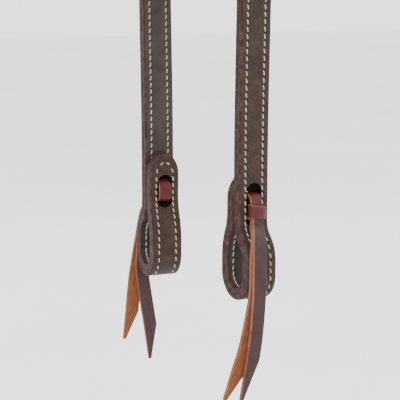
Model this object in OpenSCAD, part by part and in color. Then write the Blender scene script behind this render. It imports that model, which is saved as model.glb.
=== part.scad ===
// Western roping rein, doubled and stitched, with a tied water loop at each end.
// It is stored as a double coil on a peg, with both ends hanging down.
// The front half is described once, and the rear half is the same half turned
// 180 degrees about Z, except for the way its tie tails splay.

/* [Strap] */
// Width of the strap
strap_w = 15.9; // [12.7:0.1:19.1]
// Thickness of one ply
ply_t = 3.2; // [2.4:0.1:3.6]
// Distance from the strap's middle to each row of stitches
stitch_row = 5.0; // [4.5:0.1:5.5]
// Width of the sewing thread
thread_w = 0.9; // [0.6:0.1:1.2]
// Height of a thread above the leather
thread_proud = 0.2; // [0.1:0.05:0.25]
// Depth of the groove that a thread is pulled into
thread_sunk = 0.4; // [0.3:0.1:0.6]

/* [Coil] */
// Radius of the outermost turn at the strap's middle
coil_r = 41.7; // [40:0.1:48]
// Distance from one turn to the next
coil_pitch = 7.1; // [7:0.1:7.6]
// Half turns in each of the two rolls
half_turns = 8; // [4:2:8]
// Straight stretch between each upper and lower half turn
coil_straight = 12; // [4:0.5:20]
// Space between the two rolls
roll_gap = 1.1; // [0.8:0.1:3]

/* [Hanging ends] */
// Drop from the bottom of the coil's straight stretch to the bottom of a loop
leg_drop = 202; // [190:1:260]
// Inward lean of a hanging end where it leaves the coil, in degrees
leg_lean = 1.9; // [0.5:0.1:2]
// Length of its straight stretch before it turns upright
lean_run = 90; // [70:5:100]
// Length over which it turns upright
upright_run = 50; // [30:5:50]
// Clearance between the coil and the top of a hanging end
leg_gap = 0.6; // [0.4:0.1:1]

/* [Water loop] */
// Radius of the fold at the strap's middle
fold_r = 10.2; // [8.5:0.1:10.5]
// Height of the straight stretch above the fold
fold_straight = 8; // [4:0.5:10]
// Bulge of the main strap out of its own line
bulge = 8.5; // [6:0.1:9]
// Space between the strap and the tab that lies on it
tab_gap = 0.5; // [0.45:0.05:0.8]
// Height of the tab's rounded tip above the bottom of the loop
tab_top = 70; // [66:0.5:76]

/* [Tie] */
// Width of the tie lace
lace_w = 7.5; // [6:0.1:8]
// Thickness of the tie lace
lace_t = 2.2; // [1.6:0.1:2.4]
// Width of the oval windows in the roughout plies
window_w = 8.7; // [8.2:0.1:9]
// Height of the middle of the tie above the bottom of the loop
tie_h = 48; // [47:0.5:49]
// Height of the tab's window
tab_window_h = 18; // [17:0.5:19]
// Height of the main strap's window
strap_window_h = 25; // [24:0.5:26]

/* [Hidden] */
$fn = 72;
little = 0.01;

strap_t = 2 * ply_t;
roll_x = (strap_w + roll_gap) / 2;
coil_top = 0;
coil_low = -coil_straight;
cross_r = coil_r - half_turns * coil_pitch / 2;

// Rises of the two S bends above the fold, with their angles and radii
fold_out = fold_r + ply_t;
bend_low = fold_out + fold_straight;
strap_rise = 19.5;
strap_angle = 2 * atan(bulge / strap_rise);
strap_bend_r = strap_rise / (2 * sin(strap_angle));
tab_step = 2 * fold_r - bulge - strap_t - tab_gap;
tab_rise = 24;
tab_angle = 2 * atan(tab_step / tab_rise);
tab_bend_r = tab_rise / (2 * sin(tab_angle));
tab_low = bend_low + tab_rise;
tab_n = -(strap_t + tab_gap);

// A path is a list of [bend radius, angle, length]. A radius of 0 is straight, a positive
// one bends to the inner side and a negative one to the outer side.
upright_r = upright_run / (leg_lean * PI / 180);
leg_rest = leg_drop - leg_gap - lean_run - upright_run - bend_low - strap_rise;
hang_path = [
    [0, 0, lean_run],
    [-upright_r, leg_lean, 0],
    [0, 0, leg_rest]
];
loop_down = [
    [-strap_bend_r, strap_angle, 0],
    [strap_bend_r, strap_angle, 0],
    [0, 0, fold_straight]
];
loop_up = [
    [0, 0, fold_straight],
    [tab_bend_r, tab_angle, 0],
    [-tab_bend_r, tab_angle, 0],
    [0, 0, tab_top - tab_low - strap_w / 2]
];
fold_start = concat(hang_path, loop_down);
leg_path = concat(fold_start, [[fold_r, 180, 0]], loop_up);
loop_bore_r = fold_r - ply_t + 0.1;
coil_path = [for (k = [0 : half_turns]) each [
    [0, 0, coil_straight],
    if (k < half_turns) [coil_r - k * coil_pitch / 2, 180, 0]
]];

leather_grain = [0.30, 0.25, 0.25];
leather_rough = [0.32, 0.26, 0.22];
thread_colour = [0.80, 0.74, 0.70];
burgundy = [0.36, 0.16, 0.18];
tan = [0.66, 0.38, 0.24];

// The frame at the end of one stretch of a path: X outward, Y along, Z across the width
module after(radius, angle, run) {
    if (radius == 0) translate([0, run, 0]) children();
    else translate([-radius, 0, 0]) rotate([0, 0, sign(radius) * angle]) translate([radius, 0, 0])
        children();
}

// What is drawn at the end of a path
module at_end(path, i = 0) {
    if (i < len(path)) after(path[i][0], path[i][1], path[i][2]) at_end(path, i + 1) children();
    else children();
}

// The same path as stations [x, y, heading], for a flat outline
bend_step = 9;
function next_station(from, radius, turned, run) = radius == 0
    ? [from[0] + run * cos(from[2]), from[1] + run * sin(from[2]), from[2]]
    : let (to = from[2] + sign(radius) * turned)
        [from[0] + radius * (sin(to) - sin(from[2])), from[1] - radius * (cos(to) - cos(from[2])),
         to];
function stations(path, from, i = 0) = i == len(path) ? [] : let (
        steps = path[i][0] == 0 ? 1 : ceil(path[i][1] / bend_step),
        made = [for (k = [1 : steps])
            next_station(from, path[i][0], path[i][1] * k / steps, path[i][2])]
    ) concat(made, stations(path, made[steps - 1], i + 1));
function beside(line, n) = [for (s = line) [s[0] + n * sin(s[2]), s[1] - n * cos(s[2])]];
function reversed(list) = [for (i = [len(list) - 1 : -1 : 0]) list[i]];
// A layer between two distances from a path's middle
module layer(path, n_low, n_high, wide) {
    start = [0, 0, 90];
    line = concat([start], stations(path, start));
    linear_extrude(wide, center = true)
        polygon(concat(beside(line, n_low), reversed(beside(line, n_high))));
}

// Two rows of thread on one side of a path, from one depth to another
module thread_rows(path, side, depth, height) {
    low = side * (ply_t - depth);
    high = side * (ply_t + height);
    for (row = [-stitch_row, stitch_row]) translate([0, 0, row])
        layer(path, min(low, high), max(low, high), thread_w);
}
// The arch that joins the two rows round the tip of the tab
module thread_arch(side, depth, height) {
    rotate([0, 90, 0]) rotate_extrude(angle = 180)
        translate([stitch_row - thread_w / 2, side > 0 ? ply_t - depth : -ply_t - height])
        square([thread_w, depth + height]);
}

// The frames of the two hanging ends: X outward, Y down and Z across, from the hinge down
module front_frame() {
    translate([roll_x, -coil_r - ply_t, coil_low]) rotate([leg_lean, 0, 0])
        translate([0, ply_t, -leg_gap]) rotate([-90, 0, 0]) rotate([0, 90, 0]) children();
}
module rear_frame() {
    rotate([0, 0, 180]) front_frame() children();
}
// The tie's frame: X outward, Y up and Z across, from the level of the loop's bottom
module tie_frame() {
    at_end(hang_path) translate([0, bend_low + strap_rise, 0]) mirror([0, 1, 0]) children();
}

// An upright slot with round ends, from one n to another
module slot(from_n, to_n, low_h, high_h, width) {
    translate([from_n, 0, 0]) rotate([90, 0, 90]) linear_extrude(to_n - from_n) hull()
        for (h = [low_h + width / 2, high_h - width / 2]) translate([h, 0]) circle(width / 2);
}

// The windows in the roughout plies, and the two holes in the grain plies, which leave a
// bridge of grain leather between them
past = 1;
window_out = 4;
strap_window_low = tie_h - 11;
tab_window_low = tie_h - tab_window_h / 2;
hole_h = 5;
hole_low = [tie_h - 7.8, tie_h + 2.8];
module rough_windows() {
    tie_frame() {
        slot(-little, ply_t + window_out, strap_window_low, strap_window_low + strap_window_h,
            window_w);
        slot(tab_n - ply_t - past, tab_n + little, tab_window_low, tab_window_low + tab_window_h,
            window_w);
    }
}
module grain_holes() {
    hole_w = lace_w + 0.4;
    tie_frame() for (low = hole_low)
        translate([tab_n - past, low, -hole_w / 2]) cube([2 * past - tab_n, hole_h, hole_w]);
}

// One ply of a hanging end, with a groove under each row of stitches
module leg_ply(side) {
    low = min(0, side * ply_t);
    difference() {
        union() {
            layer(leg_path, low, low + ply_t, strap_w);
            at_end(leg_path) translate([low, 0, 0]) rotate([0, 90, 0])
                cylinder(r = strap_w / 2, h = ply_t);
        }
        thread_rows(leg_path, side, thread_sunk, tab_gap / 2);
        at_end(leg_path) thread_arch(side, thread_sunk, thread_proud);
    }
}
// The round seat of the bit ring in the fold
module loop_bore() {
    at_end(fold_start) translate([-fold_r, 0, 0])
        cylinder(r = loop_bore_r, h = 2 * strap_w, center = true);
}
module leg_grain_ply() {
    color(leather_grain) difference() {
        leg_ply(-1);
        grain_holes();
        loop_bore();
    }
}
module leg_rough_ply() {
    color(leather_rough) difference() {
        leg_ply(1);
        rough_windows();
    }
}
module leg_thread(side) {
    color(thread_colour) difference() {
        union() {
            thread_rows(leg_path, side, thread_sunk, thread_proud);
            at_end(leg_path) thread_arch(side, thread_sunk, thread_proud);
        }
        loop_bore();
    }
}

// The lace: a bight over the tab's bridge, two strands through the plies, and the upper
// strand coming down the front of the strap into the wrap
lace_gap = 0.3;
bight_n = tab_n - lace_t - 0.2;
strand_n = lace_gap;
upper_low = tie_h + 4.2;
lower_low = tie_h - 6.4;
wrap_low = tie_h - 4.8;
wrap_high = tie_h + 1.8;
wrap_n = ply_t + 0.2;
wrap_side = 1.2;
wrap_lap = 1;
wrap_deep = 2 * lace_t + 2 * lace_gap + 0.1;
tail_top = wrap_low - lace_gap;
under_n = ply_t + lace_gap + lace_t / 2;
outer_n = under_n + lace_t + lace_gap;
module tie_lace() {
    reach = strand_n - bight_n + lace_t;
    color(burgundy) tie_frame() translate([0, 0, -lace_w / 2]) {
        translate([bight_n, lower_low, 0]) cube([lace_t, upper_low + lace_t - lower_low, lace_w]);
        for (h = [lower_low, upper_low]) translate([bight_n, h, 0]) cube([reach, lace_t, lace_w]);
        translate([strand_n, wrap_high, 0])
            cube([lace_t, upper_low - wrap_high + wrap_lap, lace_w]);
    }
}
// The band that the lace makes round its own strands, open below for the tails
module tie_wrap() {
    side_w = lace_w / 2 + wrap_side;
    recess_h = 4;
    color(burgundy) tie_frame() difference() {
        translate([wrap_n, wrap_low, -side_w])
            cube([wrap_deep + wrap_side, wrap_high - wrap_low, 2 * side_w]);
        translate([wrap_n - little, wrap_low - recess_h / 2, -lace_w / 2 - 0.1])
            cube([wrap_deep, recess_h, lace_w + 0.2]);
    }
}

// A tail, whose middle is n from the strap's: it leaves the wrap, follows the bulge down
// and hangs, cut to a long bevel
tail_blunt = 1.5;
tail_t = lace_t - 0.2;
tail_lap = 1.5;
swing_r = 20;
module tail(n, drop, splay, swing, bevel, paint) {
    over_bulge = [
        [0, 0, tail_top - bend_low - strap_rise],
        [n - strap_bend_r, strap_angle, 0],
        [n + strap_bend_r, strap_angle, 0],
        [0, 0, fold_straight],
        if (swing > 0) [swing_r, swing, 0],
        [0, 0, 2 * tail_lap]
    ];
    color(paint) tie_frame() mirror([0, 1, 0]) translate([n, -tail_top, 0]) {
        layer(over_bulge, -lace_t / 2, lace_t / 2, lace_w);
        at_end(over_bulge) rotate([splay, 0, 0]) translate([-tail_t / 2, -tail_lap, 0])
            rotate([90, 0, 90]) linear_extrude(tail_t)
            polygon([[0, -lace_w / 2], [drop - bevel, -lace_w / 2],
                     [drop, lace_w / 2 - tail_blunt], [drop, lace_w / 2], [0, lace_w / 2]]);
    }
}

// The coil: two rolls side by side, joined by one half turn that crosses over in the eye
module front_roll() {
    translate([roll_x, -coil_r, coil_low]) rotate([90, 0, 0]) rotate([0, -90, 0]) children();
}
module both_rolls() {
    for (turn = [0, 180]) rotate([0, 0, turn]) front_roll() children();
}
function cross_point(a, n, w) = let (s = a / 180, eased = s * s * (3 - 2 * s))
    [roll_x * (1 - 2 * eased) + w, -(cross_r + n) * cos(a), coil_top + (cross_r + n) * sin(a)];
cross_steps = 14;
module crossing(n_low, n_high, w_low, w_high) {
    corners = [[n_low, w_low], [n_high, w_low], [n_high, w_high], [n_low, w_high]];
    points = [for (i = [0 : cross_steps], c = corners)
        cross_point(180 * i / cross_steps, c[0], c[1])];
    sides = [for (i = [0 : cross_steps - 1], j = [0 : 3])
        [4 * i + 4 + j, 4 * i + 4 + (j + 1) % 4, 4 * i + (j + 1) % 4, 4 * i + j]];
    last = 4 * cross_steps;
    polyhedron(points, concat([[0, 1, 2, 3]], sides, [[last + 3, last + 2, last + 1, last]]));
}
module coil_ply(side, paint) {
    low = min(0, side * ply_t);
    color(paint) {
        both_rolls() layer(coil_path, low, low + ply_t, strap_w);
        crossing(low, low + ply_t, -strap_w / 2, strap_w / 2);
    }
}
// The coil's threads lie on the leather, with no groove
module coil_thread(side) {
    color(thread_colour) both_rolls() thread_rows(coil_path, side, 0, thread_proud);
}

// The string that holds the two rolls together at the top, and its knot
string_w = 8;
string_t = 2;
string_gap = 0.4;
string_top = coil_top + coil_r + ply_t + thread_proud + string_gap;
string_low = coil_top + sqrt(pow(cross_r - ply_t, 2) - pow(string_w / 2, 2)) - string_gap;
string_x = roll_x + strap_w / 2 + string_gap;
knot = [12, 11, 4.5];
knot_end = 24;
knot_end_up = 0.3;
module storage_string() {
    color(burgundy) translate([0, string_w / 2, 0]) rotate([90, 0, 0]) linear_extrude(string_w)
        difference() {
            translate([-string_x - string_t, string_low - string_t])
                square([2 * (string_x + string_t), string_top - string_low + 2 * string_t]);
            translate([-string_x, string_low]) square([2 * string_x, string_top - string_low]);
        }
}
module storage_knot() {
    color(burgundy) translate([0, 0, string_top + string_t]) {
        translate([-knot[0] / 2, -knot[1] / 2, 0]) cube(knot);
        for (end = [-1, 1]) translate([end * (knot[0] + knot_end) / 2, 0, knot_end_up + string_t / 2])
            cube([knot_end, string_w, string_t], center = true);
    }
}

coil_ply(-1, leather_grain);  // coil_grain_ply
coil_ply(1, leather_rough);  // coil_rough_ply
coil_thread(-1);  // coil_needle_thread
coil_thread(1);  // coil_bobbin_thread
storage_string();
storage_knot();
front_frame() leg_grain_ply();  // front_grain_ply
front_frame() leg_rough_ply();  // front_rough_ply
front_frame() leg_thread(-1);  // front_needle_thread
front_frame() leg_thread(1);  // front_bobbin_thread
front_frame() tie_lace();  // front_tie_lace
front_frame() tie_wrap();  // front_tie_wrap
front_frame() tail(under_n, 62, -9, 3, 14, tan);  // front_under_tail
front_frame() tail(outer_n, 64, -5, 3, 21, burgundy);  // front_outer_tail
rear_frame() leg_grain_ply();  // rear_grain_ply
rear_frame() leg_rough_ply();  // rear_rough_ply
rear_frame() leg_thread(-1);  // rear_needle_thread
rear_frame() leg_thread(1);  // rear_bobbin_thread
rear_frame() tie_lace();  // rear_tie_lace
rear_frame() tie_wrap();  // rear_tie_wrap
rear_frame() tail(under_n, 58, -7, 0, 18, tan);  // rear_under_tail
rear_frame() tail(outer_n, 49, 6, 0, 16, burgundy);  // rear_outer_tail
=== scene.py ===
"""A doubled and stitched western rein with a tied water loop at each hanging end."""
import math

import bmesh
import bpy
import numpy as np
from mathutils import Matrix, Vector

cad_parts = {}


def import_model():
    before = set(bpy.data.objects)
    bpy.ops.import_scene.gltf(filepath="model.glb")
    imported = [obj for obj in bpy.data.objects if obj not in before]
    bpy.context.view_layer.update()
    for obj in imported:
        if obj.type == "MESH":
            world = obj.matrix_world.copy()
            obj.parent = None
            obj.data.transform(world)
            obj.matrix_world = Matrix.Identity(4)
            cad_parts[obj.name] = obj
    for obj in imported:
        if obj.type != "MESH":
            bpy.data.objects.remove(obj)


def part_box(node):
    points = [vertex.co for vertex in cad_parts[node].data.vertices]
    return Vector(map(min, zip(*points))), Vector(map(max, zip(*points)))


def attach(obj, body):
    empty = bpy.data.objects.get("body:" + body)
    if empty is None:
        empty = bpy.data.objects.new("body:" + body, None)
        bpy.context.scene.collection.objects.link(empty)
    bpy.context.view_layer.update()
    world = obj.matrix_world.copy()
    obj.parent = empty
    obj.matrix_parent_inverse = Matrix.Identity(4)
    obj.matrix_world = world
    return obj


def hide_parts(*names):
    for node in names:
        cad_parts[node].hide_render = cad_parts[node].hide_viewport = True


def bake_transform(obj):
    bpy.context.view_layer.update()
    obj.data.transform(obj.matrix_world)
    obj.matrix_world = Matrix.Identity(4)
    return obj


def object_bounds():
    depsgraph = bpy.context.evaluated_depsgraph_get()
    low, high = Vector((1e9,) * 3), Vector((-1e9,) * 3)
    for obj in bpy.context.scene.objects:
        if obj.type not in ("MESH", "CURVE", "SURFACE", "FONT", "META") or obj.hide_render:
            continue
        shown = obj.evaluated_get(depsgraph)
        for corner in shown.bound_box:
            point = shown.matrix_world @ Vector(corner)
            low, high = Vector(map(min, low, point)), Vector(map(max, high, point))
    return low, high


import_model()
cad_lo, cad_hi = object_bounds()

MM = 0.001

# The camera: angles in degrees, lengths in metres, lens in millimetres
CAMERA_AZIMUTH = 26.63
CAMERA_ELEVATION = 9.31
CAMERA_DISTANCE = 0.75
CAMERA_SENSOR = 36
CAMERA_LENS = 127.8
AIM_Z = -0.150
AIM_LEFT = 0.0012
AIM_DOWN = 0.0171

# The lights: place and side in metres, power in watts
LIGHTS = {"key": ((-0.5, -0.9, 0.5), 0.6, 9.0), "fill": ((0.9, -0.6, 0.1), 0.8, 4.0),
          "rim": ((0.2, 0.9, 0.5), 0.6, 5.0)}
SKY_STRENGTH = 2.3
FLOOR_BELOW = 0.12
FLOOR_HALF = 6.0

# The strap's section, in millimetres as everything below
STRAP_W = 16.7
PLY_T = 3.2
EDGE_ROUND = 0.8
INNER_ROUND = 0.35
EDGE_BAND = 0.75  # the width of the burnished edge on a face
FACE_BAND = 0.9  # how far in from its face a ply still looks like its face
FACE_POINTS = [-6.3, -5.8, -5.0, -4.2, -3.2, -1.6, 0.0, 1.6, 3.2, 4.2, 5.0, 5.8, 6.3]
TIP_LENGTH = 12.0
TIP_POWER = 0.6  # 0.5 is an ellipse, and more is more pointed
TIP_LEAST = 0.04  # the share of the width that is left at the very tip

# The stitches
STITCH_ROW = 4.9
STITCH_PITCH = 3.65
STITCH_HALF = 1.45
STITCH_R = 0.36
STITCH_DIP = 0.42
STITCH_PROUD = 0.16
STITCH_SLANT = 11.0  # degrees
CHANNEL_DEPTH = 0.22
HOLE_R = 0.85
CHANNEL_HALF = 1.1
ARCH_TOP = 5.6  # from the tab's tip to the top of the stitches' arch
ARCH_HEIGHT = 7.2
ARCH_COUNT = 4
ARCH_CLEAR = 0.5

# The coil's route, as in the CAD model
COIL_R = 41.7
COIL_PITCH = 7.1
HALF_TURNS = 8
COIL_STRAIGHT = 12.0
ROLL_X = 8.5
CROSS_R = COIL_R - HALF_TURNS * COIL_PITCH / 2
CROSS_COUNT = 23
SEAM_S = COIL_STRAIGHT + 30.0  # how far along the roll a hanging end's pieces begin
SEAM_LAP = 0.55
COIL_STEP = 2.5
LEG_STEP = 1.2
TOP_STEP = 1.5

# The hanging ends' route, as in the CAD model but for the height of the front tab
LEG_DROP = 202.0
LEG_LEAN = 1.9  # degrees
LEG_GAP = 0.6
LEAN_RUN = 90.0
UPRIGHT_RUN = 50.0
FOLD_R = 10.2
FOLD_STRAIGHT = 8.0
BULGE = 8.5
STRAP_RISE = 19.5
TAB_RISE = 24.0
TAB_GAP = 0.5
TAB_TOP = {"front": 64.5, "rear": 69.6}
TAB_N = -(2 * PLY_T + TAB_GAP)
BEND_LOW = FOLD_R + PLY_T + FOLD_STRAIGHT

# How far each loop is twisted about the strap, in degrees, and the heights it happens between
LOOP_TWIST = {"front": 3.0, "rear": -4.0}
TWIST_LOW, TWIST_HIGH = 20.0, 85.0

# The tie's windows: heights are above or below the tie's own height
TIE_H = 48.0
WINDOW_W, WINDOW_CORNER = 8.7, 4.34
STRAP_WINDOW = (-10.5, 12.7)
TAB_WINDOW = (-9.0, 9.0)
SLITS = ((-6.9, -4.0), (4.2, 7.9))
SLIT_W, SLIT_CORNER = 7.3, 1.2
CUT_PAST = 0.6
CUT_CLEAR_STRAP, CUT_CLEAR_TAB, CUT_CLEAR_GRAIN = 8.0, 3.0, 1.0

# The laces
LACE_W = 7.5
LACE_T = 2.2
LACE_ROUND = 0.45
LACE_EDGE, LACE_SKIN = 0.3, 0.05  # the cut edge's reach on a face, and how far it stays off it
PINCH = 0.76  # the share of its width that a lace keeps inside the wrap
PINCH_START, PINCH_S = 3.5, 9.0  # where along a tail the pinch eases, and for how long
TAIL_BLUNT = 1.3
TAIL_BEND_N, TAIL_BEND_HIGH, TAIL_BEND_LOW = 7, 3.5, 22
BIGHT_W, BIGHT_T = LACE_W - 0.5, LACE_T - 0.2
BIGHT_PROUD = 1.9
BIGHT_PINCH_S = 6.0
BIGHT_MIDDLE = 16.3  # along the lace, from its start to the middle of its bight
BIGHT_HALF = 6.5
BIGHT_FULL, BIGHT_TAPER = 1.04, 0.16  # the bight's share of its width, and its loss at its ends
WRAP_W, WRAP_T = 6.4, 1.3
WRAP_N, WRAP_DROP, WRAP_TILT = 6.0, 1.6, 0.5
WRAP_HALF_N, WRAP_HALF_W = 3.2, 3.55
WRAP_SQUARE = 0.55  # 1 is an ellipse, and less is squarer
WRAP_COUNT, WRAP_END = 24, 150

# The storage string
BAND_W, BAND_T = 7.4, 1.9
BAND_INSET = 1.1
BAND_CORNER = 3.0
KNOT_END_W, KNOT_END_T = 7.2, 1.7
KNOT_TURN_W, KNOT_TURN_T = 6.6, 1.6
KNOT_HALF_Y, KNOT_HALF_Z, KNOT_UP, KNOT_LEAN = 5.2, 2.6, 2.3, 0.4

ENDS = ("front", "rear")
# Each ply: its side of the middle line, and the names of its layer, thread and slot
PLIES = ((-1, "grain", "needle", "grain_leather"), (1, "rough", "bobbin", "roughout_leather"))


# ---------------------------------------------------------------- paths

def s_bend(shift, rise):
    """Angle in degrees and radius of the two arcs of an S that shifts by shift over rise."""
    angle = 2 * math.degrees(math.atan(shift / rise))
    return angle, rise / (2 * math.sin(math.radians(angle)))


def walk(path, step):
    """Stations (x, y, heading) along a path of (bend radius, degrees, length) stretches."""
    x, y, a = 0.0, 0.0, math.pi / 2
    stations = [(x, y, a)]
    for radius, degrees, run in path:
        turned = math.radians(degrees)
        length = run if radius == 0 else abs(radius) * turned
        steps = max(1, round(length / step))
        x0, y0, a0 = x, y, a
        for k in range(1, steps + 1):
            if radius == 0:
                x, y = x0 + run * k / steps * math.cos(a0), y0 + run * k / steps * math.sin(a0)
            else:
                a = a0 + math.copysign(turned * k / steps, radius)
                x = x0 + radius * (math.sin(a) - math.sin(a0))
                y = y0 - radius * (math.cos(a) - math.cos(a0))
            stations.append((x, y, a))
    return np.array(stations)


def hang_path():
    """From the coil down to where the strap begins to bulge over the loop."""
    rest = LEG_DROP - LEG_GAP - LEAN_RUN - UPRIGHT_RUN - BEND_LOW - STRAP_RISE
    upright_r = UPRIGHT_RUN / math.radians(LEG_LEAN)
    return [(0, 0, LEAN_RUN), (-upright_r, LEG_LEAN, 0), (0, 0, rest)]


def loop_path(end):
    """Out round the loop and up the tab."""
    out, out_r = s_bend(BULGE, STRAP_RISE)
    back, back_r = s_bend(2 * FOLD_R - BULGE - 2 * PLY_T - TAB_GAP, TAB_RISE)
    tab_run = TAB_TOP[end] - BEND_LOW - TAB_RISE
    return [(-out_r, out, 0), (out_r, out, 0), (0, 0, FOLD_STRAIGHT), (FOLD_R, 180, 0),
            (0, 0, FOLD_STRAIGHT), (back_r, back, 0), (-back_r, back, 0), (0, 0, tab_run)]


def coil_path():
    """One roll, from the hinge to the crossover."""
    path = []
    for k in range(HALF_TURNS):
        path += [(0, 0, COIL_STRAIGHT), (COIL_R - k * COIL_PITCH / 2, 180, 0)]
    return path + [(0, 0, COIL_STRAIGHT)]


def turned_back(points):
    """Half a turn about Z."""
    return points * np.array([-1, -1, 1])


def leg_world(flat, across=0.0):
    """Points of the front end's own frame (n, along), in the row frame, in millimetres."""
    lean = math.radians(LEG_LEAN)
    y, z = PLY_T - flat[:, 0], -flat[:, 1] - LEG_GAP
    return np.stack([np.full(len(flat), ROLL_X) + across,
                     -COIL_R - PLY_T + y * math.cos(lean) - z * math.sin(lean),
                     -COIL_STRAIGHT + y * math.sin(lean) + z * math.cos(lean)], 1)


def roll_world(flat):
    """Points of the front roll's own frame (n, along), in the row frame."""
    return np.stack([np.full(len(flat), ROLL_X), -COIL_R - flat[:, 0],
                     flat[:, 1] - COIL_STRAIGHT], 1)


def smooth(values):
    """Moving average over three stations, with the ends held."""
    padded = np.concatenate([values[:1], values, values[-1:]])
    return (padded[:-2] + padded[1:-1] + padded[2:]) / 3


def ease(share):
    """0 to 1, slow at both ends."""
    return share * share * (3 - 2 * share)


class Ribbon:
    """A strap's middle line, with its outward, lengthwise and widthwise directions."""

    def __init__(self, points, outward):
        self.p = points
        step = np.linalg.norm(np.diff(points, axis=0), axis=1)
        self.s = np.concatenate([[0], np.cumsum(step)])
        t = np.gradient(points, self.s, axis=0)
        self.t = t / np.linalg.norm(t, axis=1)[:, None]
        w = np.cross(outward, self.t)
        self.w = w / np.linalg.norm(w, axis=1)[:, None]
        self.n = np.cross(self.t, self.w)

    def resampled(self, stops):
        """The same ribbon with its stations at other distances."""
        piece = Ribbon.__new__(Ribbon)
        piece.s = np.asarray(stops)
        piece.p, piece.n, piece.t, piece.w = (
            np.stack([np.interp(stops, self.s, values[:, c]) for c in range(3)], 1)
            for values in (self.p, self.n, self.t, self.w))
        return piece

    def sample(self, s):
        """Point and directions at distance s along the ribbon."""
        piece = self.resampled([s])
        return piece.p[0], piece.n[0], piece.t[0], piece.w[0]

    def part(self, low, high):
        """The stretch between two distances."""
        inside = self.s[(self.s > low + 0.2) & (self.s < high - 0.2)]
        return self.resampled([low, *inside, high])


def outward_of(stations, to_world):
    """Outward directions of the stations of a flat path."""
    flat = stations[:, :2]
    out = np.stack([np.sin(stations[:, 2]), -np.cos(stations[:, 2])], 1)
    return to_world(flat + out) - to_world(flat)


def twist_leg(points, end):
    """Turns the low part of a hanging end about its own upright line."""
    axis = leg_world(walk(hang_path(), 5)[-1:, :2])[0]
    bottom = -COIL_STRAIGHT - LEG_DROP
    share = np.clip((TWIST_HIGH - (points[:, 2] - bottom)) / (TWIST_HIGH - TWIST_LOW), 0, 1)
    a = math.radians(LOOP_TWIST[end]) * ease(share)
    x, y = points[:, 0] - axis[0], points[:, 1] - axis[1]
    return np.stack([axis[0] + x * np.cos(a) - y * np.sin(a),
                     axis[1] + x * np.sin(a) + y * np.cos(a), points[:, 2]], 1)


def roll_half():
    """The front roll's middle line from the hinge to the crossover, with its outward side."""
    stations = walk(coil_path(), COIL_STEP)
    return roll_world(stations[:, :2]), outward_of(stations, roll_world)


def crossover():
    """The half turn that joins the two rolls in the eye."""
    share = np.linspace(0, 1, CROSS_COUNT)
    angles = math.pi * share
    out = np.stack([0 * share, -np.cos(angles), np.sin(angles)], 1)
    line = out * CROSS_R
    line[:, 0] = ROLL_X * (1 - 2 * ease(share))
    return line, out


def coil_ribbon():
    """The whole stored length, from one hanging end's seam to the other's."""
    roll, roll_out = roll_half()
    cross, cross_out = crossover()
    points = np.concatenate([roll[:-1], cross, turned_back(roll[-2::-1])])
    out = np.concatenate([roll_out[:-1], cross_out, turned_back(roll_out[-2::-1])])
    whole = Ribbon(points, out)
    return whole.part(SEAM_S, whole.s[-1] - SEAM_S)


def leg_ribbon(end):
    """From the seam on the coil, down the hanging end, round the loop and up the tab."""
    top = Ribbon(*roll_half()).resampled(np.arange(SEAM_S + SEAM_LAP, TOP_STEP, -TOP_STEP))
    stations = walk(hang_path() + loop_path(end), LEG_STEP)
    points = smooth(np.concatenate([top.p, leg_world(stations[:, :2])]))
    tips = points + np.concatenate([top.n, outward_of(stations, leg_world)])
    points, tips = twist_leg(points, end), twist_leg(tips, end)
    if end == "rear":
        points, tips = turned_back(points), turned_back(tips)
    return Ribbon(points, tips - points)


# ---------------------------------------------------------------- meshes

STRAP_UVS = "strap"


def new_object(name, verts, faces, materials, material_ids=None, uvs=None):
    """A mesh object from points in millimetres. uvs has one row for each face's corner."""
    mesh = bpy.data.meshes.new(name)
    mesh.from_pydata((np.asarray(verts) * MM).tolist(), [], faces)
    for material in materials:
        mesh.materials.append(material)
    if material_ids is not None:
        mesh.polygons.foreach_set("material_index", material_ids)
    if uvs is not None:
        layer = mesh.uv_layers.new(name=STRAP_UVS)
        layer.data.foreach_set("uv", np.asarray(uvs, float).ravel())
    mesh.polygons.foreach_set("use_smooth", [True] * len(mesh.polygons))
    mesh.validate()
    mesh.update()
    obj = bpy.data.objects.new(name, mesh)
    bpy.context.scene.collection.objects.link(obj)
    return obj


def sweep(name, ribbon, outline, materials, material_of, profile=None):
    """A closed tube of an outline [(n, w)] swept along a ribbon. profile(i, outline) may
    change the outline at station i. U is millimetres along, V millimetres across."""
    count, stations = len(outline), len(ribbon.s)
    rings = []
    for i in range(stations):
        ring = np.asarray(profile(i, outline) if profile else outline)
        rings.append(ribbon.p[i] + ring[:, :1] * ribbon.n[i] + ring[:, 1:2] * ribbon.w[i])
    verts = np.concatenate(rings)
    faces, ids, uvs = [], [], []
    around = np.asarray(outline)
    for i in range(stations - 1):
        for j in range(count):
            k = (j + 1) % count
            faces.append((i * count + j, (i + 1) * count + j, (i + 1) * count + k, i * count + k))
            ids.append(material_of(around[j], around[k]))
            u0, u1 = ribbon.s[i], ribbon.s[i + 1]
            uvs += [(u0, around[j][1]), (u1, around[j][1]), (u1, around[k][1]),
                    (u0, around[k][1])]
    for first, order in ((0, range(count)), ((stations - 1) * count, reversed(range(count)))):
        cap = [first + j for j in order]
        faces.append(tuple(cap))
        ids.append(len(materials) - 1)
        station = 0 if first == 0 else -1
        uvs += [(ribbon.s[station], around[v - first][1]) for v in cap]
    return new_object(name, verts, faces, materials, ids, uvs)


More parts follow.
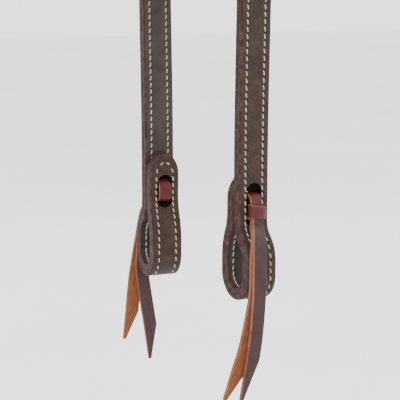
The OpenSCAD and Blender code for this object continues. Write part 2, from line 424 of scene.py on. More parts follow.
def rounded(n_low, n_high, half_w, low_r, high_r, steps=4, across=()):
    """Outline (n, w) of a strap layer with rounded corners and extra points across it."""
    middle, points = (n_low + n_high) / 2, []
    for start, n, w, r in ((0, n_high, half_w, high_r), (90, n_low, half_w, low_r),
                           (180, n_low, -half_w, low_r), (270, n_high, -half_w, high_r)):
        cn, cw = n - math.copysign(r, n - middle), w - math.copysign(r, w)
        for k in range(steps + 1):
            a = math.radians(start + 90 * k / steps)
            points.append((cn + r * math.cos(a), cw + r * math.sin(a)))
        if start == 90:
            points += [(n_low, w) for w in sorted(across, reverse=True)]
        if start == 270:
            points += [(n_high, w) for w in sorted(across)]
    return points


def cut(obj, cutters):
    """Takes the cutters' shapes out of a mesh and removes them."""
    for cutter in cutters:
        modifier = obj.modifiers.new("cut", "BOOLEAN")
        modifier.operation = "DIFFERENCE"
        modifier.solver = "EXACT"
        modifier.object = cutter
    bpy.context.view_layer.update()
    made = bpy.data.meshes.new_from_object(
        obj.evaluated_get(bpy.context.evaluated_depsgraph_get()))
    obj.modifiers.clear()
    obj.data = made
    for cutter in cutters:
        bpy.data.objects.remove(cutter)


# ---------------------------------------------------------------- materials

def principled(name, **sockets):
    """A material with its own tree, and the values that are the same all over it."""
    material = bpy.data.materials.new(name)
    material.use_nodes = True
    shader = material.node_tree.nodes["Principled BSDF"]
    for socket, value in sockets.items():
        shader.inputs[socket.replace("_", " ")].default_value = value
    return material, material.node_tree, shader


def node(tree, kind, links=(), **settings):
    """A shader node with its properties set, and links of (source, input) into it."""
    made = tree.nodes.new(kind)
    for key, value in settings.items():
        setattr(made, key, value)
    for source, target in links:
        tree.links.new(source, made.inputs[target])
    return made


def noise(tree, coords, scale, detail=4.0, roughness=0.6, stretch=None):
    """Noise from 0 to 1, with scale in features per millimetre."""
    vector = coords
    if stretch:
        mapping = node(tree, "ShaderNodeMapping", [(coords, 0)])
        mapping.inputs["Scale"].default_value = stretch
        vector = mapping.outputs[0]
    made = node(tree, "ShaderNodeTexNoise", [(vector, "Vector")])
    made.inputs["Scale"].default_value = scale
    made.inputs["Detail"].default_value = detail
    made.inputs["Roughness"].default_value = roughness
    return made.outputs["Fac"]


def ramp(tree, value, stops):
    """A colour ramp of (position, colour)."""
    made = node(tree, "ShaderNodeValToRGB", [(value, 0)])
    elements = made.color_ramp.elements
    while len(elements) < len(stops):
        elements.new(0.5)
    for element, (position, colour) in zip(elements, stops):
        element.position = position
        element.color = (*colour, 1)
    return made.outputs[0]


def grey(value):
    return (value, value, value)


def maths(tree, operation, a, b=None, clamp=False):
    """One operation on numbers or outputs."""
    made = node(tree, "ShaderNodeMath", operation=operation, use_clamp=clamp)
    for k, value in enumerate((a, b)):
        if value is None:
            continue
        if isinstance(value, (int, float)):
            made.inputs[k].default_value = value
        else:
            tree.links.new(value, made.inputs[k])
    return made.outputs[0]


def mix(tree, share, a, b):
    """Colour a turning to colour b as share goes from 0 to 1."""
    made = node(tree, "ShaderNodeMix", data_type="RGBA")
    for target, value in ((0, share), (6, a), (7, b)):
        if isinstance(value, tuple):
            made.inputs[target].default_value = (*value, 1)
        elif isinstance(value, (int, float)):
            made.inputs[target].default_value = value
        else:
            tree.links.new(value, made.inputs[target])
    return made.outputs[2]


def bump(tree, shader, height, strength, distance_mm):
    """Relief from a height that runs from 0 to 1."""
    made = node(tree, "ShaderNodeBump", [(height, "Height")])
    made.inputs["Strength"].default_value = strength
    made.inputs["Distance"].default_value = distance_mm * MM
    tree.links.new(made.outputs[0], shader.inputs["Normal"])


def stitch_masks(tree):
    """Two masks on a strap's own coordinates: the needle holes, and the pressed channel."""
    uv = node(tree, "ShaderNodeUVMap", uv_map=STRAP_UVS).outputs[0]
    split = node(tree, "ShaderNodeSeparateXYZ", [(uv, 0)])
    across = maths(tree, "ABSOLUTE", split.outputs[1])
    off_row = maths(tree, "ABSOLUTE", maths(tree, "SUBTRACT", across, STITCH_ROW))
    phase = maths(tree, "FRACT", maths(tree, "DIVIDE", split.outputs[0], STITCH_PITCH))
    off_phase = maths(tree, "ABSOLUTE", maths(tree, "SUBTRACT", phase, 0.5))
    off_hole = maths(tree, "MULTIPLY", off_phase, STITCH_PITCH)
    reach = maths(tree, "SQRT", maths(tree, "ADD", maths(tree, "POWER", off_row, 2.0),
                                      maths(tree, "POWER", off_hole, 2.0)))
    holes = maths(tree, "SUBTRACT", 1.0, maths(tree, "DIVIDE", reach, HOLE_R), clamp=True)
    channel = maths(tree, "SUBTRACT", 1.0, maths(tree, "DIVIDE", off_row, CHANNEL_HALF),
                    clamp=True)
    return holes, channel


def object_coords(tree):
    """Coordinates in millimetres that are the same in every piece."""
    coords = node(tree, "ShaderNodeTexCoord").outputs["Object"]
    mapping = node(tree, "ShaderNodeMapping", [(coords, 0)])
    mapping.inputs["Scale"].default_value = grey(1 / MM)
    return mapping.outputs[0]


def grain_leather():
    """Smooth side: dark brown, a fine pebbled grain, and a soft polish."""
    material, tree, shader = principled("grain_leather", Specular_IOR_Level=0.2)
    coords = object_coords(tree)
    blotches = noise(tree, coords, 0.16, 3)
    base = ramp(tree, blotches, [(0.3, (0.019, 0.013, 0.0115)), (0.7, (0.031, 0.022, 0.020))])
    fine = noise(tree, coords, 2.2, 3, 0.7)
    holes, channel = stitch_masks(tree)
    base = mix(tree, maths(tree, "MULTIPLY", channel, 0.35), base, (0.022, 0.015, 0.013))
    # painted shade: the needle holes are darkened as the shade inside them
    base = mix(tree, holes, base, (0.008, 0.005, 0.004))
    tree.links.new(base, shader.inputs["Base Color"])
    shine = ramp(tree, noise(tree, coords, 0.5, 4), [(0.3, grey(0.40)), (0.75, grey(0.55))])
    tree.links.new(shine, shader.inputs["Roughness"])
    height = maths(tree, "SUBTRACT", maths(tree, "MULTIPLY", fine, 0.35),
                   maths(tree, "MULTIPLY", holes, 1.2))
    height = maths(tree, "SUBTRACT", height, maths(tree, "MULTIPLY", channel, 0.6))
    bump(tree, shader, height, 0.6, 0.25)
    return material


def rough_leather():
    """Flesh side: matt, napped, mottled brown."""
    material, tree, shader = principled("roughout_leather", Roughness=0.92,
                                        Specular_IOR_Level=0.18, Sheen_Weight=0.08,
                                        Sheen_Roughness=0.55)
    coords = object_coords(tree)
    nap = noise(tree, coords, 1.1, 6, 0.75)
    patches = noise(tree, coords, 0.22, 4, 0.65)
    both = maths(tree, "ADD", maths(tree, "MULTIPLY", nap, 0.55),
                 maths(tree, "MULTIPLY", patches, 0.45))
    base = ramp(tree, both, [(0.34, (0.012, 0.0062, 0.0038)), (0.52, (0.0265, 0.0150, 0.0100)),
                             (0.68, (0.049, 0.031, 0.0215))])
    holes, channel = stitch_masks(tree)
    base = mix(tree, maths(tree, "MULTIPLY", channel, 0.4), base, (0.026, 0.017, 0.012))
    # painted shade: the needle holes are darkened as the shade inside them
    base = mix(tree, holes, base, (0.008, 0.005, 0.004))
    tree.links.new(base, shader.inputs["Base Color"])
    height = maths(tree, "ADD", nap, maths(tree, "MULTIPLY", patches, 0.8))
    height = maths(tree, "SUBTRACT", height, maths(tree, "MULTIPLY", holes, 1.0))
    bump(tree, shader, height, 0.75, 0.5)
    return material


def edge_leather():
    """The burnished cut edge: reddish brown, waxed and mottled."""
    material, tree, shader = principled("burnished_edge", Specular_IOR_Level=0.1)
    coords = object_coords(tree)
    streaks = noise(tree, coords, 0.3, 5, 0.65)
    base = ramp(tree, streaks, [(0.32, (0.014, 0.0075, 0.0065)), (0.5, (0.030, 0.0135, 0.0110)),
                                (0.66, (0.062, 0.031, 0.024))])
    tree.links.new(base, shader.inputs["Base Color"])
    shine = ramp(tree, noise(tree, coords, 0.8, 4), [(0.3, grey(0.45)), (0.75, grey(0.68))])
    tree.links.new(shine, shader.inputs["Roughness"])
    bump(tree, shader, noise(tree, coords, 1.4, 5, 0.7), 0.35, 0.3)
    return material


def painted_shade_leather():
    """Leather between the plies and inside the windows: matt, and painted near black as the shade
    there.
    """
    material, tree, shader = principled("inner_leather_painted_shade", Roughness=0.95,
                                        Specular_IOR_Level=0.1)
    coords = object_coords(tree)
    # painted shade: a near-black colour stands in for the shade between the plies and in the
    # windows
    base = ramp(tree, noise(tree, coords, 0.9, 5), [(0.3, (0.003, 0.002, 0.0015)),
                                                    (0.75, (0.009, 0.006, 0.005))])
    tree.links.new(base, shader.inputs["Base Color"])
    bump(tree, shader, noise(tree, coords, 1.5, 5, 0.7), 0.6, 0.3)
    return material


def thread_material():
    """Waxed off-white cord, with the twist of its plies."""
    material, tree, shader = principled("sewing_thread", Roughness=0.62,
                                        Specular_IOR_Level=0.35)
    coords = object_coords(tree)
    wave = node(tree, "ShaderNodeTexWave", [(coords, "Vector")], bands_direction="DIAGONAL")
    wave.inputs["Scale"].default_value = 0.9
    wave.inputs["Distortion"].default_value = 1.5
    dirt = noise(tree, coords, 0.35, 4)
    base = ramp(tree, dirt, [(0.3, (0.26, 0.21, 0.17)), (0.7, (0.38, 0.32, 0.27))])
    tree.links.new(base, shader.inputs["Base Color"])
    bump(tree, shader, wave.outputs["Fac"], 0.5, 0.12)
    return material


def lace_leather(name, dark, light, rough, nap, specular):
    """Latigo leather that varies from a dark to a light colour."""
    material, tree, shader = principled(name, Specular_IOR_Level=specular)
    coords = object_coords(tree)
    patches = noise(tree, coords, 0.25, 5, 0.6)
    fibres = noise(tree, coords, 0.9, 5, 0.7, stretch=(1.0, 1.0, 0.25))
    both = maths(tree, "ADD", maths(tree, "MULTIPLY", patches, 0.55),
                 maths(tree, "MULTIPLY", fibres, 0.45))
    tree.links.new(ramp(tree, both, [(0.32, dark), (0.68, light)]), shader.inputs["Base Color"])
    shine = ramp(tree, fibres, [(0.3, grey(rough - 0.08)), (0.75, grey(rough + 0.1))])
    tree.links.new(shine, shader.inputs["Roughness"])
    bump(tree, shader, fibres, nap, 0.3)
    return material


GRAIN = grain_leather()
ROUGH = rough_leather()
EDGE = edge_leather()
# painted shade: the near-black material for the inner faces, caps and window walls
PAINTED_SHADE_LEATHER = painted_shade_leather()
THREAD = thread_material()
BURGUNDY = lace_leather("lace_grain", (0.030, 0.0036, 0.0042), (0.074, 0.0080, 0.0100),
                        rough=0.45, nap=0.2, specular=0.22)
TAN = lace_leather("lace_flesh", (0.085, 0.026, 0.010), (0.175, 0.060, 0.026),
                   rough=0.85, nap=0.6, specular=0.1)
PLUM = lace_leather("lace_grain_dark", (0.017, 0.0072, 0.0076), (0.036, 0.0145, 0.0150),
                    rough=0.5, nap=0.2, specular=0.22)
CUT_EDGE = lace_leather("lace_cut_edge", (0.12, 0.044, 0.021), (0.22, 0.090, 0.047),
                        rough=0.8, nap=0.5, specular=0.1)


# ---------------------------------------------------------------- the strap

def ply_outline(side):
    """A ply's outline: rounded at its outer face, near square where it meets the other."""
    half = STRAP_W / 2
    low, high = (0.0, PLY_T) if side > 0 else (-PLY_T, 0.0)
    low_r, high_r = (INNER_ROUND, EDGE_ROUND) if side > 0 else (EDGE_ROUND, INNER_ROUND)
    outline = rounded(low, high, half, low_r, high_r, across=FACE_POINTS)
    face = side * PLY_T
    pressed = []
    for n, w in outline:
        if abs(n - face) < 1e-6:
            near = max(0.0, 1 - (abs(w) - STITCH_ROW) ** 2)
            n -= side * CHANNEL_DEPTH * near
        pressed.append((n, w))
    return pressed


def ply_materials(side):
    """Face, edge and painted-shade inner materials of a ply, and which of them a strip of it
    takes.
    """
    face_n = side * PLY_T

    def material_of(a, b):
        n, w = (a[0] + b[0]) / 2, (a[1] + b[1]) / 2
        if abs(w) > STRAP_W / 2 - EDGE_BAND:
            return 1
        return 0 if abs(n - face_n) < FACE_BAND else 2

    return [ROUGH if side > 0 else GRAIN, EDGE, PAINTED_SHADE_LEATHER], material_of


def tip_profile(ribbon):
    """Narrows the last stretch of the tab to a long rounded tip."""
    start = ribbon.s[-1] - TIP_LENGTH

    def profile(i, outline):
        into = ribbon.s[i] - start
        if into <= 0:
            return outline
        width = max(0.0, 1 - (into / TIP_LENGTH) ** 2) ** TIP_POWER
        return [(n, w * max(width, TIP_LEAST)) for n, w in outline]

    return profile


def add_tip_stations(ribbon):
    """More stations near the tip, so that it is round."""
    end = ribbon.s[-1]
    extra = [end - TIP_LENGTH * (1 - math.sin(math.radians(a))) for a in range(4, 90, 4)]
    extra.append(end - 0.002)
    fixed = [s for s in ribbon.s if s < end - TIP_LENGTH]
    return ribbon.resampled(sorted(fixed + extra + [end]))


def tie_point(end, n, h, w):
    """A point of the tie's frame (outward, height above the loop's bottom, across)."""
    stations = walk(hang_path(), 5)
    x, y, a = stations[-1]
    down = BEND_LOW + STRAP_RISE - h
    flat = np.array([[x + n * math.sin(a) + down * math.cos(a),
                      y - n * math.cos(a) + down * math.sin(a)]])
    point = twist_leg(leg_world(flat, w), end)
    return (turned_back(point) if end == "rear" else point)[0]


def tie_points(end, rows):
    return np.array([tie_point(end, *row) for row in rows])


def window_cutter(end, n_low, n_high, h_low, h_high, width, corner):
    """An upright slot with rounded corners, from n_low to n_high, as a closed mesh."""
    rim = []
    for ch, cw, start in ((h_high - corner, width / 2 - corner, 0),
                          (h_high - corner, corner - width / 2, 90),
                          (h_low + corner, corner - width / 2, 180),
                          (h_low + corner, width / 2 - corner, 270)):
        for k in range(7):
            a = math.radians(start + 15 * k)
            rim.append((ch + corner * math.sin(a), cw + corner * math.cos(a)))
    count = len(rim)
    rows = [(n, h, w) for n in (n_low, n_high) for h, w in rim]
    faces = [tuple(range(count)), tuple(reversed(range(count, 2 * count)))]
    faces += [(k, k + count, (k + 1) % count + count, (k + 1) % count) for k in range(count)]
    cutter = new_object("cutter", tie_points(end, rows), faces, [PAINTED_SHADE_LEATHER])
    bm_fix_normals(cutter.data)
    return cutter


def bm_fix_normals(mesh):
    """Turns every face outward."""
    bm = bmesh.new()
    bm.from_mesh(mesh)
    bmesh.ops.recalc_face_normals(bm, faces=bm.faces)
    bm.to_mesh(mesh)
    bm.free()


def make_ply(name, ribbon, side, has_tip):
    """One layer of the strap along a ribbon. side is 1 for the roughout ply, -1 for the grain."""
    materials, material_of = ply_materials(side)
    profile = None
    if has_tip:
        ribbon = add_tip_stations(ribbon)
        profile = tip_profile(ribbon)
    obj = sweep(name, ribbon, ply_outline(side), materials, material_of, profile)
    bm_fix_normals(obj.data)
    return obj


def stitch_shape(rings, sides):
    """One stitch along X: a bead that dips into its holes at both ends."""
    verts, faces = [], []
    for i in range(rings):
        share = -1 + 2 * i / (rings - 1)
        fat = max(0.25, (1 - share ** 4) ** 0.5)
        dip = -STITCH_DIP * share ** 4
        for j in range(sides):
            a = 2 * math.pi * j / sides
            verts.append((share * STITCH_HALF, STITCH_R * fat * math.cos(a) + dip,
                          STITCH_R * fat * math.sin(a)))
    for i in range(rings - 1):
        for j in range(sides):
            k = (j + 1) % sides
            faces.append((i * sides + j, i * sides + k, (i + 1) * sides + k, (i + 1) * sides + j))
    faces.append(tuple(range(sides)))
    faces.append(tuple(reversed([(rings - 1) * sides + j for j in range(sides)])))
    return np.array(verts), faces


def stitch_seats(ribbon, has_tip):
    """Where each stitch sits, with its outward, lengthwise and widthwise directions."""
    seats = []
    first = math.ceil(ribbon.s[0] / STITCH_PITCH) * STITCH_PITCH
    arch_start = ribbon.s[-1] - ARCH_TOP - ARCH_HEIGHT
    last = arch_start - ARCH_CLEAR if has_tip else ribbon.s[-1]
    for s in np.arange(first, last, STITCH_PITCH):
        p, n, t, w = ribbon.sample(s)
        for row in (-STITCH_ROW, STITCH_ROW):
            seats.append((p + w * row, n, t, w))
    if has_tip:
        p, n, t, w = ribbon.sample(arch_start)
        for k in range(ARCH_COUNT):
            a = math.pi * (k + 0.5) / ARCH_COUNT
            out = -w * math.cos(a) * STITCH_ROW + t * math.sin(a) * ARCH_HEIGHT
            along = w * math.sin(a) * STITCH_ROW + t * math.cos(a) * ARCH_HEIGHT
            along /= np.linalg.norm(along)
            seats.append((p + out, n, along, np.cross(n, along)))
    return seats


def stitches(name, ribbon, side, has_tip, rings, sides):
    """All the stitches of one face, slanted as a lockstitch pulls them."""
    shape, shape_faces = stitch_shape(rings, sides)
    face_n = side * (PLY_T - CHANNEL_DEPTH + STITCH_PROUD)
    slant = math.radians(STITCH_SLANT)
    verts, faces = [], []
    for p, n, t, w in stitch_seats(ribbon, has_tip):
        n = n / np.linalg.norm(n)
        lean = t * math.cos(slant) + w * math.sin(slant)
        cross = np.cross(n, lean)
        base = len(verts) * len(shape)
        verts.append(p + n * face_n + shape[:, :1] * lean + shape[:, 1:2] * n * side
                     + shape[:, 2:3] * cross)
        faces += [tuple(base + v for v in f) for f in shape_faces]
    obj = new_object(name, np.concatenate(verts), faces, [THREAD])
    bm_fix_normals(obj.data)
    return obj


def coil_pieces():
    """The stored length: two plies and their stitches."""
    ribbon = coil_ribbon()
    for side, word, thread, slot in PLIES:
        ply = make_ply(f"coil_strap_{word}", ribbon, side, False)
        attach(ply, "coil")
        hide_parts(f"coil_{word}_ply")
        sewn = stitches(f"coil_{thread}_stitches", ribbon, side, False, rings=5, sides=6)
        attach(sewn, "coil")
        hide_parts(f"coil_{thread}_thread")


def bend_at_coil(obj, end):
    """Bakes the piece's transform into its mesh."""
    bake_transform(obj)


def rough_windows(end):
    """Cutters for the windows in the roughout ply, in the strap and in the tab."""
    low, high = STRAP_WINDOW
    strap = window_cutter(end, -CUT_PAST, PLY_T + CUT_CLEAR_STRAP, TIE_H + low, TIE_H + high,
                          WINDOW_W, WINDOW_CORNER)
    low, high = TAB_WINDOW
    tab = window_cutter(end, TAB_N - PLY_T - CUT_CLEAR_TAB, TAB_N + CUT_PAST, TIE_H + low,
                        TIE_H + high, WINDOW_W, WINDOW_CORNER)
    return [strap, tab]


def grain_slits(end):
    """Cutters for the two slits that the lace passes through."""
    return [window_cutter(end, TAB_N - CUT_CLEAR_GRAIN, CUT_CLEAR_GRAIN, TIE_H + low,
                          TIE_H + high, SLIT_W, SLIT_CORNER) for low, high in SLITS]


def leg_pieces(end):
    """A hanging end: two plies with their windows, and their stitches."""
    ribbon = leg_ribbon(end)
    for side, word, thread, slot in PLIES:
        ply = make_ply(f"{end}_strap_{word}", ribbon, side, True)
        cut(ply, rough_windows(end) if side > 0 else grain_slits(end))
        bend_at_coil(ply, end)
        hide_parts(f"{end}_{word}_ply")
        sewn = stitches(f"{end}_{thread}_stitches", ribbon, side, True, rings=7, sides=8)
        bend_at_coil(sewn, end)
        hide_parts(f"{end}_{thread}_thread")


# ---------------------------------------------------------------- laces

def curve_through(points, step=1.0):
    """A smooth line through points, by Catmull-Rom, at even steps."""
    points = np.asarray(points, float)
    padded = np.concatenate([[2 * points[0] - points[1]], points, [2 * points[-1] - points[-2]]])
    line = []
    for i in range(1, len(padded) - 2):
        p0, p1, p2, p3 = padded[i - 1:i + 3]
        count = max(2, int(np.linalg.norm(p2 - p1) / (step / 4)))
        for k in range(count):
            u = k / count
            line.append(0.5 * ((2 * p1) + (p2 - p0) * u + (2 * p0 - 5 * p1 + 4 * p2 - p3) * u ** 2
                               + (3 * p1 - p0 - 3 * p2 + p3) * u ** 3))
    line.append(points[-1])
    line = np.array(line)
    s = np.concatenate([[0], np.cumsum(np.linalg.norm(np.diff(line, axis=0), axis=1))])
    stops = np.linspace(0, s[-1], max(3, int(s[-1] / step)))
    return np.stack([np.interp(stops, s, line[:, c]) for c in range(3)], 1)


def lace_ribbon(end, rows, facings):
    """A lace through rows (n, h, w) of the tie's frame. facings are its outward side at each
    row, as (n, h, w) directions."""
    world = tie_points(end, rows)
    tips = tie_points(end, [np.add(r, f) for r, f in zip(rows, facings)])
    line = curve_through(world)
    share = np.linspace(0, 1, len(rows))
    along = np.linspace(0, 1, len(line))
    out = np.stack([np.interp(along, share, (tips - world)[:, c]) for c in range(3)], 1)
    return Ribbon(line, out)


def lace_outline(width, thick):
    return rounded(-thick / 2, thick / 2, width / 2, LACE_ROUND, LACE_ROUND, 3,
                   across=[-width / 3, -width / 6, 0.0, width / 6, width / 3])


def lace_faces(width, thick):
    """Outer face, inner face or cut edge."""
    def material_of(a, b):
        n, w = (a[0] + b[0]) / 2, (a[1] + b[1]) / 2
        if abs(w) > width / 2 - LACE_EDGE and abs(n) < thick / 2 - LACE_SKIN:
            return 2
        return 0 if n > 0 else 1
    return material_of


def make_lace(name, ribbon, width, thick, profile=None, grain=BURGUNDY, grain_out=True):
    """A lace along a ribbon, with its grain or its flesh side out."""
    materials = [grain, TAN, CUT_EDGE] if grain_out else [TAN, grain, CUT_EDGE]
    obj = sweep(name, ribbon, lace_outline(width, thick), materials,
                lace_faces(width, thick), profile)
    bm_fix_normals(obj.data)
    return obj


def tail_profile(ribbon, bevel, low_side):
    """Pinches a tail where it leaves the wrap, and cuts its end to a long one-sided point."""
    start, half = ribbon.s[-1] - bevel, LACE_W / 2

    def profile(i, outline):
        share = min(1.0, max(0.0, (ribbon.s[i] - PINCH_START) / PINCH_S))
        pinch = PINCH + (1 - PINCH) * ease(share)
        into = max(0.0, (ribbon.s[i] - start) / bevel)
        keep = 1 - into * (1 - TAIL_BLUNT / LACE_W)
        return [(n, ((w * pinch * low_side + half) * keep - half) * low_side)
                for n, w in outline]

    return profile


# Each tail: rows (n, h, w) of its middle line, its bevel's length and side, and its outer face
TAILS = {
    ("front", "under"): {
        "rows": [(4.6, 47.0, 0.0), (4.6, 41.9, 0.2), (5.9, 38.5, -0.3), (10.9, 33.0, -2.3),
                 (12.4, 29.3, -3.5), (13.0, 24.3, -4.2), (12.9, 13.0, -4.4), (12.4, 2.6, -4.8),
                 (11.4, -20.2, -9.2), (10.6, -34.9, -13.7), (10.0, -49.2, -18.1)],
        "bevel": 15.0, "side": 1, "grain_out": False},
    ("front", "outer"): {
        "rows": [(7.1, 47.0, 0.0), (7.1, 42.3, 0.0), (8.4, 39.0, -0.5), (13.6, 33.7, -3.0),
                 (15.2, 29.8, -3.9), (15.7, 24.8, -4.2), (15.6, 13.5, -4.2), (15.2, 2.6, -4.2),
                 (14.6, -14.0, -5.2), (14.0, -27.4, -6.8), (13.2, -49.5, -10.2)],
        "bevel": 22.0, "side": 1, "grain_out": True},
    ("rear", "under"): {
        "rows": [(4.6, 47.0, 0.0), (4.6, 41.5, 0.2), (5.9, 38.5, 0.6), (10.9, 32.5, 1.4),
                 (12.4, 28.5, 2.0), (13.0, 22.0, 3.0), (12.9, 10.0, 4.4), (12.8, 0.2, 4.8),
                 (12.6, -12.6, 3.2), (12.2, -31.3, 0.4), (12.0, -50.9, -2.4)],
        "bevel": 19.0, "side": -1, "grain_out": False},
    ("rear", "outer"): {
        "rows": [(7.1, 47.0, 0.0), (7.1, 42.0, 0.2), (8.4, 39.0, 0.5), (13.6, 33.7, 1.2),
                 (15.3, 29.0, 1.9), (15.7, 22.0, 3.2), (15.4, -0.1, 7.4), (15.2, -12.0, 9.0),
                 (15.1, -22.9, 10.1), (14.7, -39.5, 11.9)],
        "bevel": 16.0, "side": -1, "grain_out": True},
}


def tail_pieces(end):
    """The two free ends of a tie's lace, one over the other."""
    for place, parent in (("under", f"{end}_end"), ("outer", f"{end}_under_tail")):
        data = TAILS[(end, place)]
        rows = data["rows"]
        ribbon = lace_ribbon(end, rows, [(1, 0, 0)] * len(rows))
        shape = tail_profile(ribbon, data["bevel"], data["side"])
        obj = make_lace(f"{end}_lace_{place}_tail", ribbon, LACE_W, LACE_T, shape, PLUM,
                        data["grain_out"])
        start = tie_point(end, TAIL_BEND_N, TIE_H - TAIL_BEND_HIGH, 0) * MM
        stop = tie_point(end, TAIL_BEND_N, TIE_H - TAIL_BEND_LOW, 0) * MM
        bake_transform(obj)
        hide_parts(f"{end}_{place}_tail")


# The bight in the tab's window and the strands through the plies: rows (n, height above the
# tie, w) of the middle line, each with its outward side
BIGHT_N = TAB_N - BIGHT_PROUD
BIGHT = [((2.5, -5.2, 0), (0, -1, 0)), ((-3.0, -5.4, 0), (0, -1, 0)),
         ((TAB_N, -5.4, 0), (-0.5, -1, 0)), ((BIGHT_N - 1.3, -3.6, 0), (-1, -0.5, 0)),
         ((BIGHT_N - 1.9, -0.4, 0), (-1, 0, 0)), ((BIGHT_N - 1.3, 3.0, 0), (-1, 0.5, 0)),
         ((TAB_N, 5.4, 0), (-0.5, 1, 0)), ((-3.0, 6.0, 0), (0, 1, 0)),
         ((1.2, 6.6, 0), (0.3, 1, 0)), ((4.2, 5.6, 0), (1, 0.7, 0)),
         ((5.4, 2.2, 0), (1, 0.1, 0)), ((5.6, -1.0, 0), (1, 0, 0))]


def bight_profile(ribbon):
    """Barrel shaped in the window, and pinched where the lace goes into the wrap."""
    def profile(i, outline):
        share = min(1.0, max(0.0, (ribbon.s[-1] - ribbon.s[i]) / BIGHT_PINCH_S))
        pinch = PINCH + (1 - PINCH) * ease(share)
        off = min(1.0, abs(ribbon.s[i] - BIGHT_MIDDLE) / BIGHT_HALF)
        keep = min(pinch, BIGHT_FULL - BIGHT_TAPER * off * off)
        return [(n, w * keep) for n, w in outline]

    return profile


def tie_pieces(end):
    """The bight with its strands, and the wrap."""
    rows = [(n, TIE_H + h, w) for (n, h, w), _ in BIGHT]
    ribbon = lace_ribbon(end, rows, [facing for _, facing in BIGHT])
    bight = make_lace(f"{end}_lace_bight", ribbon, BIGHT_W, BIGHT_T, bight_profile(ribbon))
    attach(bight, f"{end}_end")
    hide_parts(f"{end}_tie_lace")
    wrap = make_lace(f"{end}_lace_wrap", wrap_ribbon(end), WRAP_W, WRAP_T)
    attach(wrap, f"{end}_end")
    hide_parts(f"{end}_tie_wrap")


def squarish(value):
    """A sine or cosine drawn toward the corners of its square."""
    return math.copysign(abs(value) ** WRAP_SQUARE, value)


def wrap_ribbon(end):
    """The turn of lace round its own two strands."""
    rows, facings = [], []
    for k in range(WRAP_COUNT + 1):
        a = math.radians(WRAP_END * (2 * k / WRAP_COUNT - 1))
        c, s = squarish(math.cos(a)), squarish(math.sin(a))
        rows.append((WRAP_N + WRAP_HALF_N * c, TIE_H - WRAP_DROP - WRAP_TILT * s,
                     WRAP_HALF_W * s))
        facings.append((c, 0, s))
    return lace_ribbon(end, rows, facings)


def band_ribbon():
    """The band's middle line, inside the CAD string's own box."""
    low, high = (np.array(corner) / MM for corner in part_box("storage_string"))
    half_x = (high[0] - low[0]) / 2 - BAND_INSET - BAND_CORNER
    bottom = low[2] + BAND_INSET + BAND_CORNER
    top = high[2] - BAND_INSET - BAND_CORNER
    rows, out = [], []
    for cx, cz, start in ((half_x, top, 0), (-half_x, top, 90), (-half_x, bottom, 180),
                          (half_x, bottom, 270)):
        for a in np.radians(np.arange(start, start + 91, 15)):
            rows.append((cx + BAND_CORNER * math.cos(a), 0, cz + BAND_CORNER * math.sin(a)))
            out.append((math.cos(a), 0, math.sin(a)))
    return Ribbon(np.array(rows + rows[:1]), np.array(out + out[:1]))


def knot_ends_ribbon(base):
    """Both ends of the storage string, in one line over the knot. Rows are (x, y, rise)."""
    rows = [(-29, 0, 0.6), (-20, 0.3, 1.3), (-9, 0.2, 1.8), (-5, -0.4, 3.0), (0, -0.6, 3.8),
            (5, 0.4, 3.0), (9, 0.2, 1.8), (20, -0.3, 1.3), (29, 0, 0.6)]
    line = curve_through([(x, y, base + rise) for x, y, rise in rows])
    return Ribbon(line, np.tile([0.0, 0.0, 1.0], (len(line), 1)))


def knot_turn_ribbon(base):
    """The turn round both ends that makes the knot."""
    a = np.radians(np.arange(-160, 161, 16))
    sine, cosine = np.sin(a), np.cos(a)
    line = np.stack([KNOT_LEAN * sine, KNOT_HALF_Y * sine,
                     base + KNOT_UP + KNOT_HALF_Z * cosine], 1)
    return Ribbon(line, np.stack([0 * a, sine, cosine], 1))


def storage_pieces():
    """The string round both rolls, with a knot on top."""
    band = make_lace("storage_band", band_ribbon(), BAND_W, BAND_T)
    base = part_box("storage_knot")[0][2] / MM
    ends = make_lace("storage_knot_ends", knot_ends_ribbon(base), KNOT_END_W, KNOT_END_T)
    turn = make_lace("storage_knot_turn", knot_turn_ribbon(base), KNOT_TURN_W, KNOT_TURN_T)
    for obj in (band, ends, turn):
        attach(obj, "coil")
    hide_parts("storage_string")
    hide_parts("storage_knot")


# ---------------------------------------------------------------- stage

def aim(obj, direction):
    obj.rotation_euler = Vector(direction).to_track_quat("-Z", "Y").to_euler()


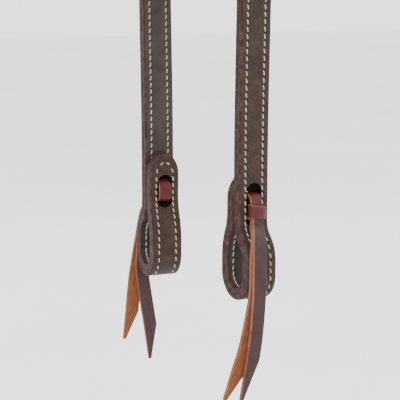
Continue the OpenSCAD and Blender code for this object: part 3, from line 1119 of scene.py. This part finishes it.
def camera():
    azimuth, elevation = math.radians(CAMERA_AZIMUTH), math.radians(CAMERA_ELEVATION)
    look = Vector((math.sin(azimuth) * math.cos(elevation),
                   math.cos(azimuth) * math.cos(elevation), -math.sin(elevation)))
    right = Vector((math.cos(azimuth), -math.sin(azimuth), 0))
    up = right.cross(look)
    target = Vector((0, 0, AIM_Z)) - right * AIM_LEFT - up * AIM_DOWN
    data = bpy.data.cameras.new("camera")
    data.sensor_width = CAMERA_SENSOR
    data.lens = CAMERA_LENS
    obj = bpy.data.objects.new("camera", data)
    obj.location = target - look * CAMERA_DISTANCE
    aim(obj, look)
    bpy.context.scene.collection.objects.link(obj)
    bpy.context.scene.camera = obj


def light(name, location, size, power):
    """A square area light that faces the middle of the rein."""
    data = bpy.data.lights.new(name, "AREA")
    data.shape = "SQUARE"
    data.size = size
    data.energy = power
    obj = bpy.data.objects.new(name, data)
    obj.location = location
    aim(obj, Vector((0, 0, AIM_Z)) - Vector(location))
    bpy.context.scene.collection.objects.link(obj)


def floor():
    """A plain pale floor below the rein."""
    z, half = cad_lo[2] - FLOOR_BELOW, FLOOR_HALF
    verts = np.array([(-half, -half, z), (half, -half, z), (half, half, z), (-half, half, z)])
    material, tree, shader = principled("pale_floor", Roughness=0.9)
    coords = node(tree, "ShaderNodeTexCoord").outputs["Object"]
    pale = ramp(tree, noise(tree, coords, 3.0, 3), [(0.3, grey(0.86)), (0.7, grey(0.90))])
    tree.links.new(pale, shader.inputs["Base Color"])
    new_object("floor", verts / MM, [(0, 1, 2, 3)], [material])


def world():
    """Even white light from all round."""
    made = bpy.data.worlds.new("studio")
    made.use_nodes = True
    back = made.node_tree.nodes["Background"]
    back.inputs[0].default_value = (1.0, 1.0, 1.0, 1)
    back.inputs[1].default_value = SKY_STRENGTH
    bpy.context.scene.world = made


camera()
for which in ENDS:
    tail_pieces(which)
    tie_pieces(which)
    leg_pieces(which)
coil_pieces()
storage_pieces()
floor()
world()
for word, (place, side, power) in LIGHTS.items():
    light(word, place, side, power)
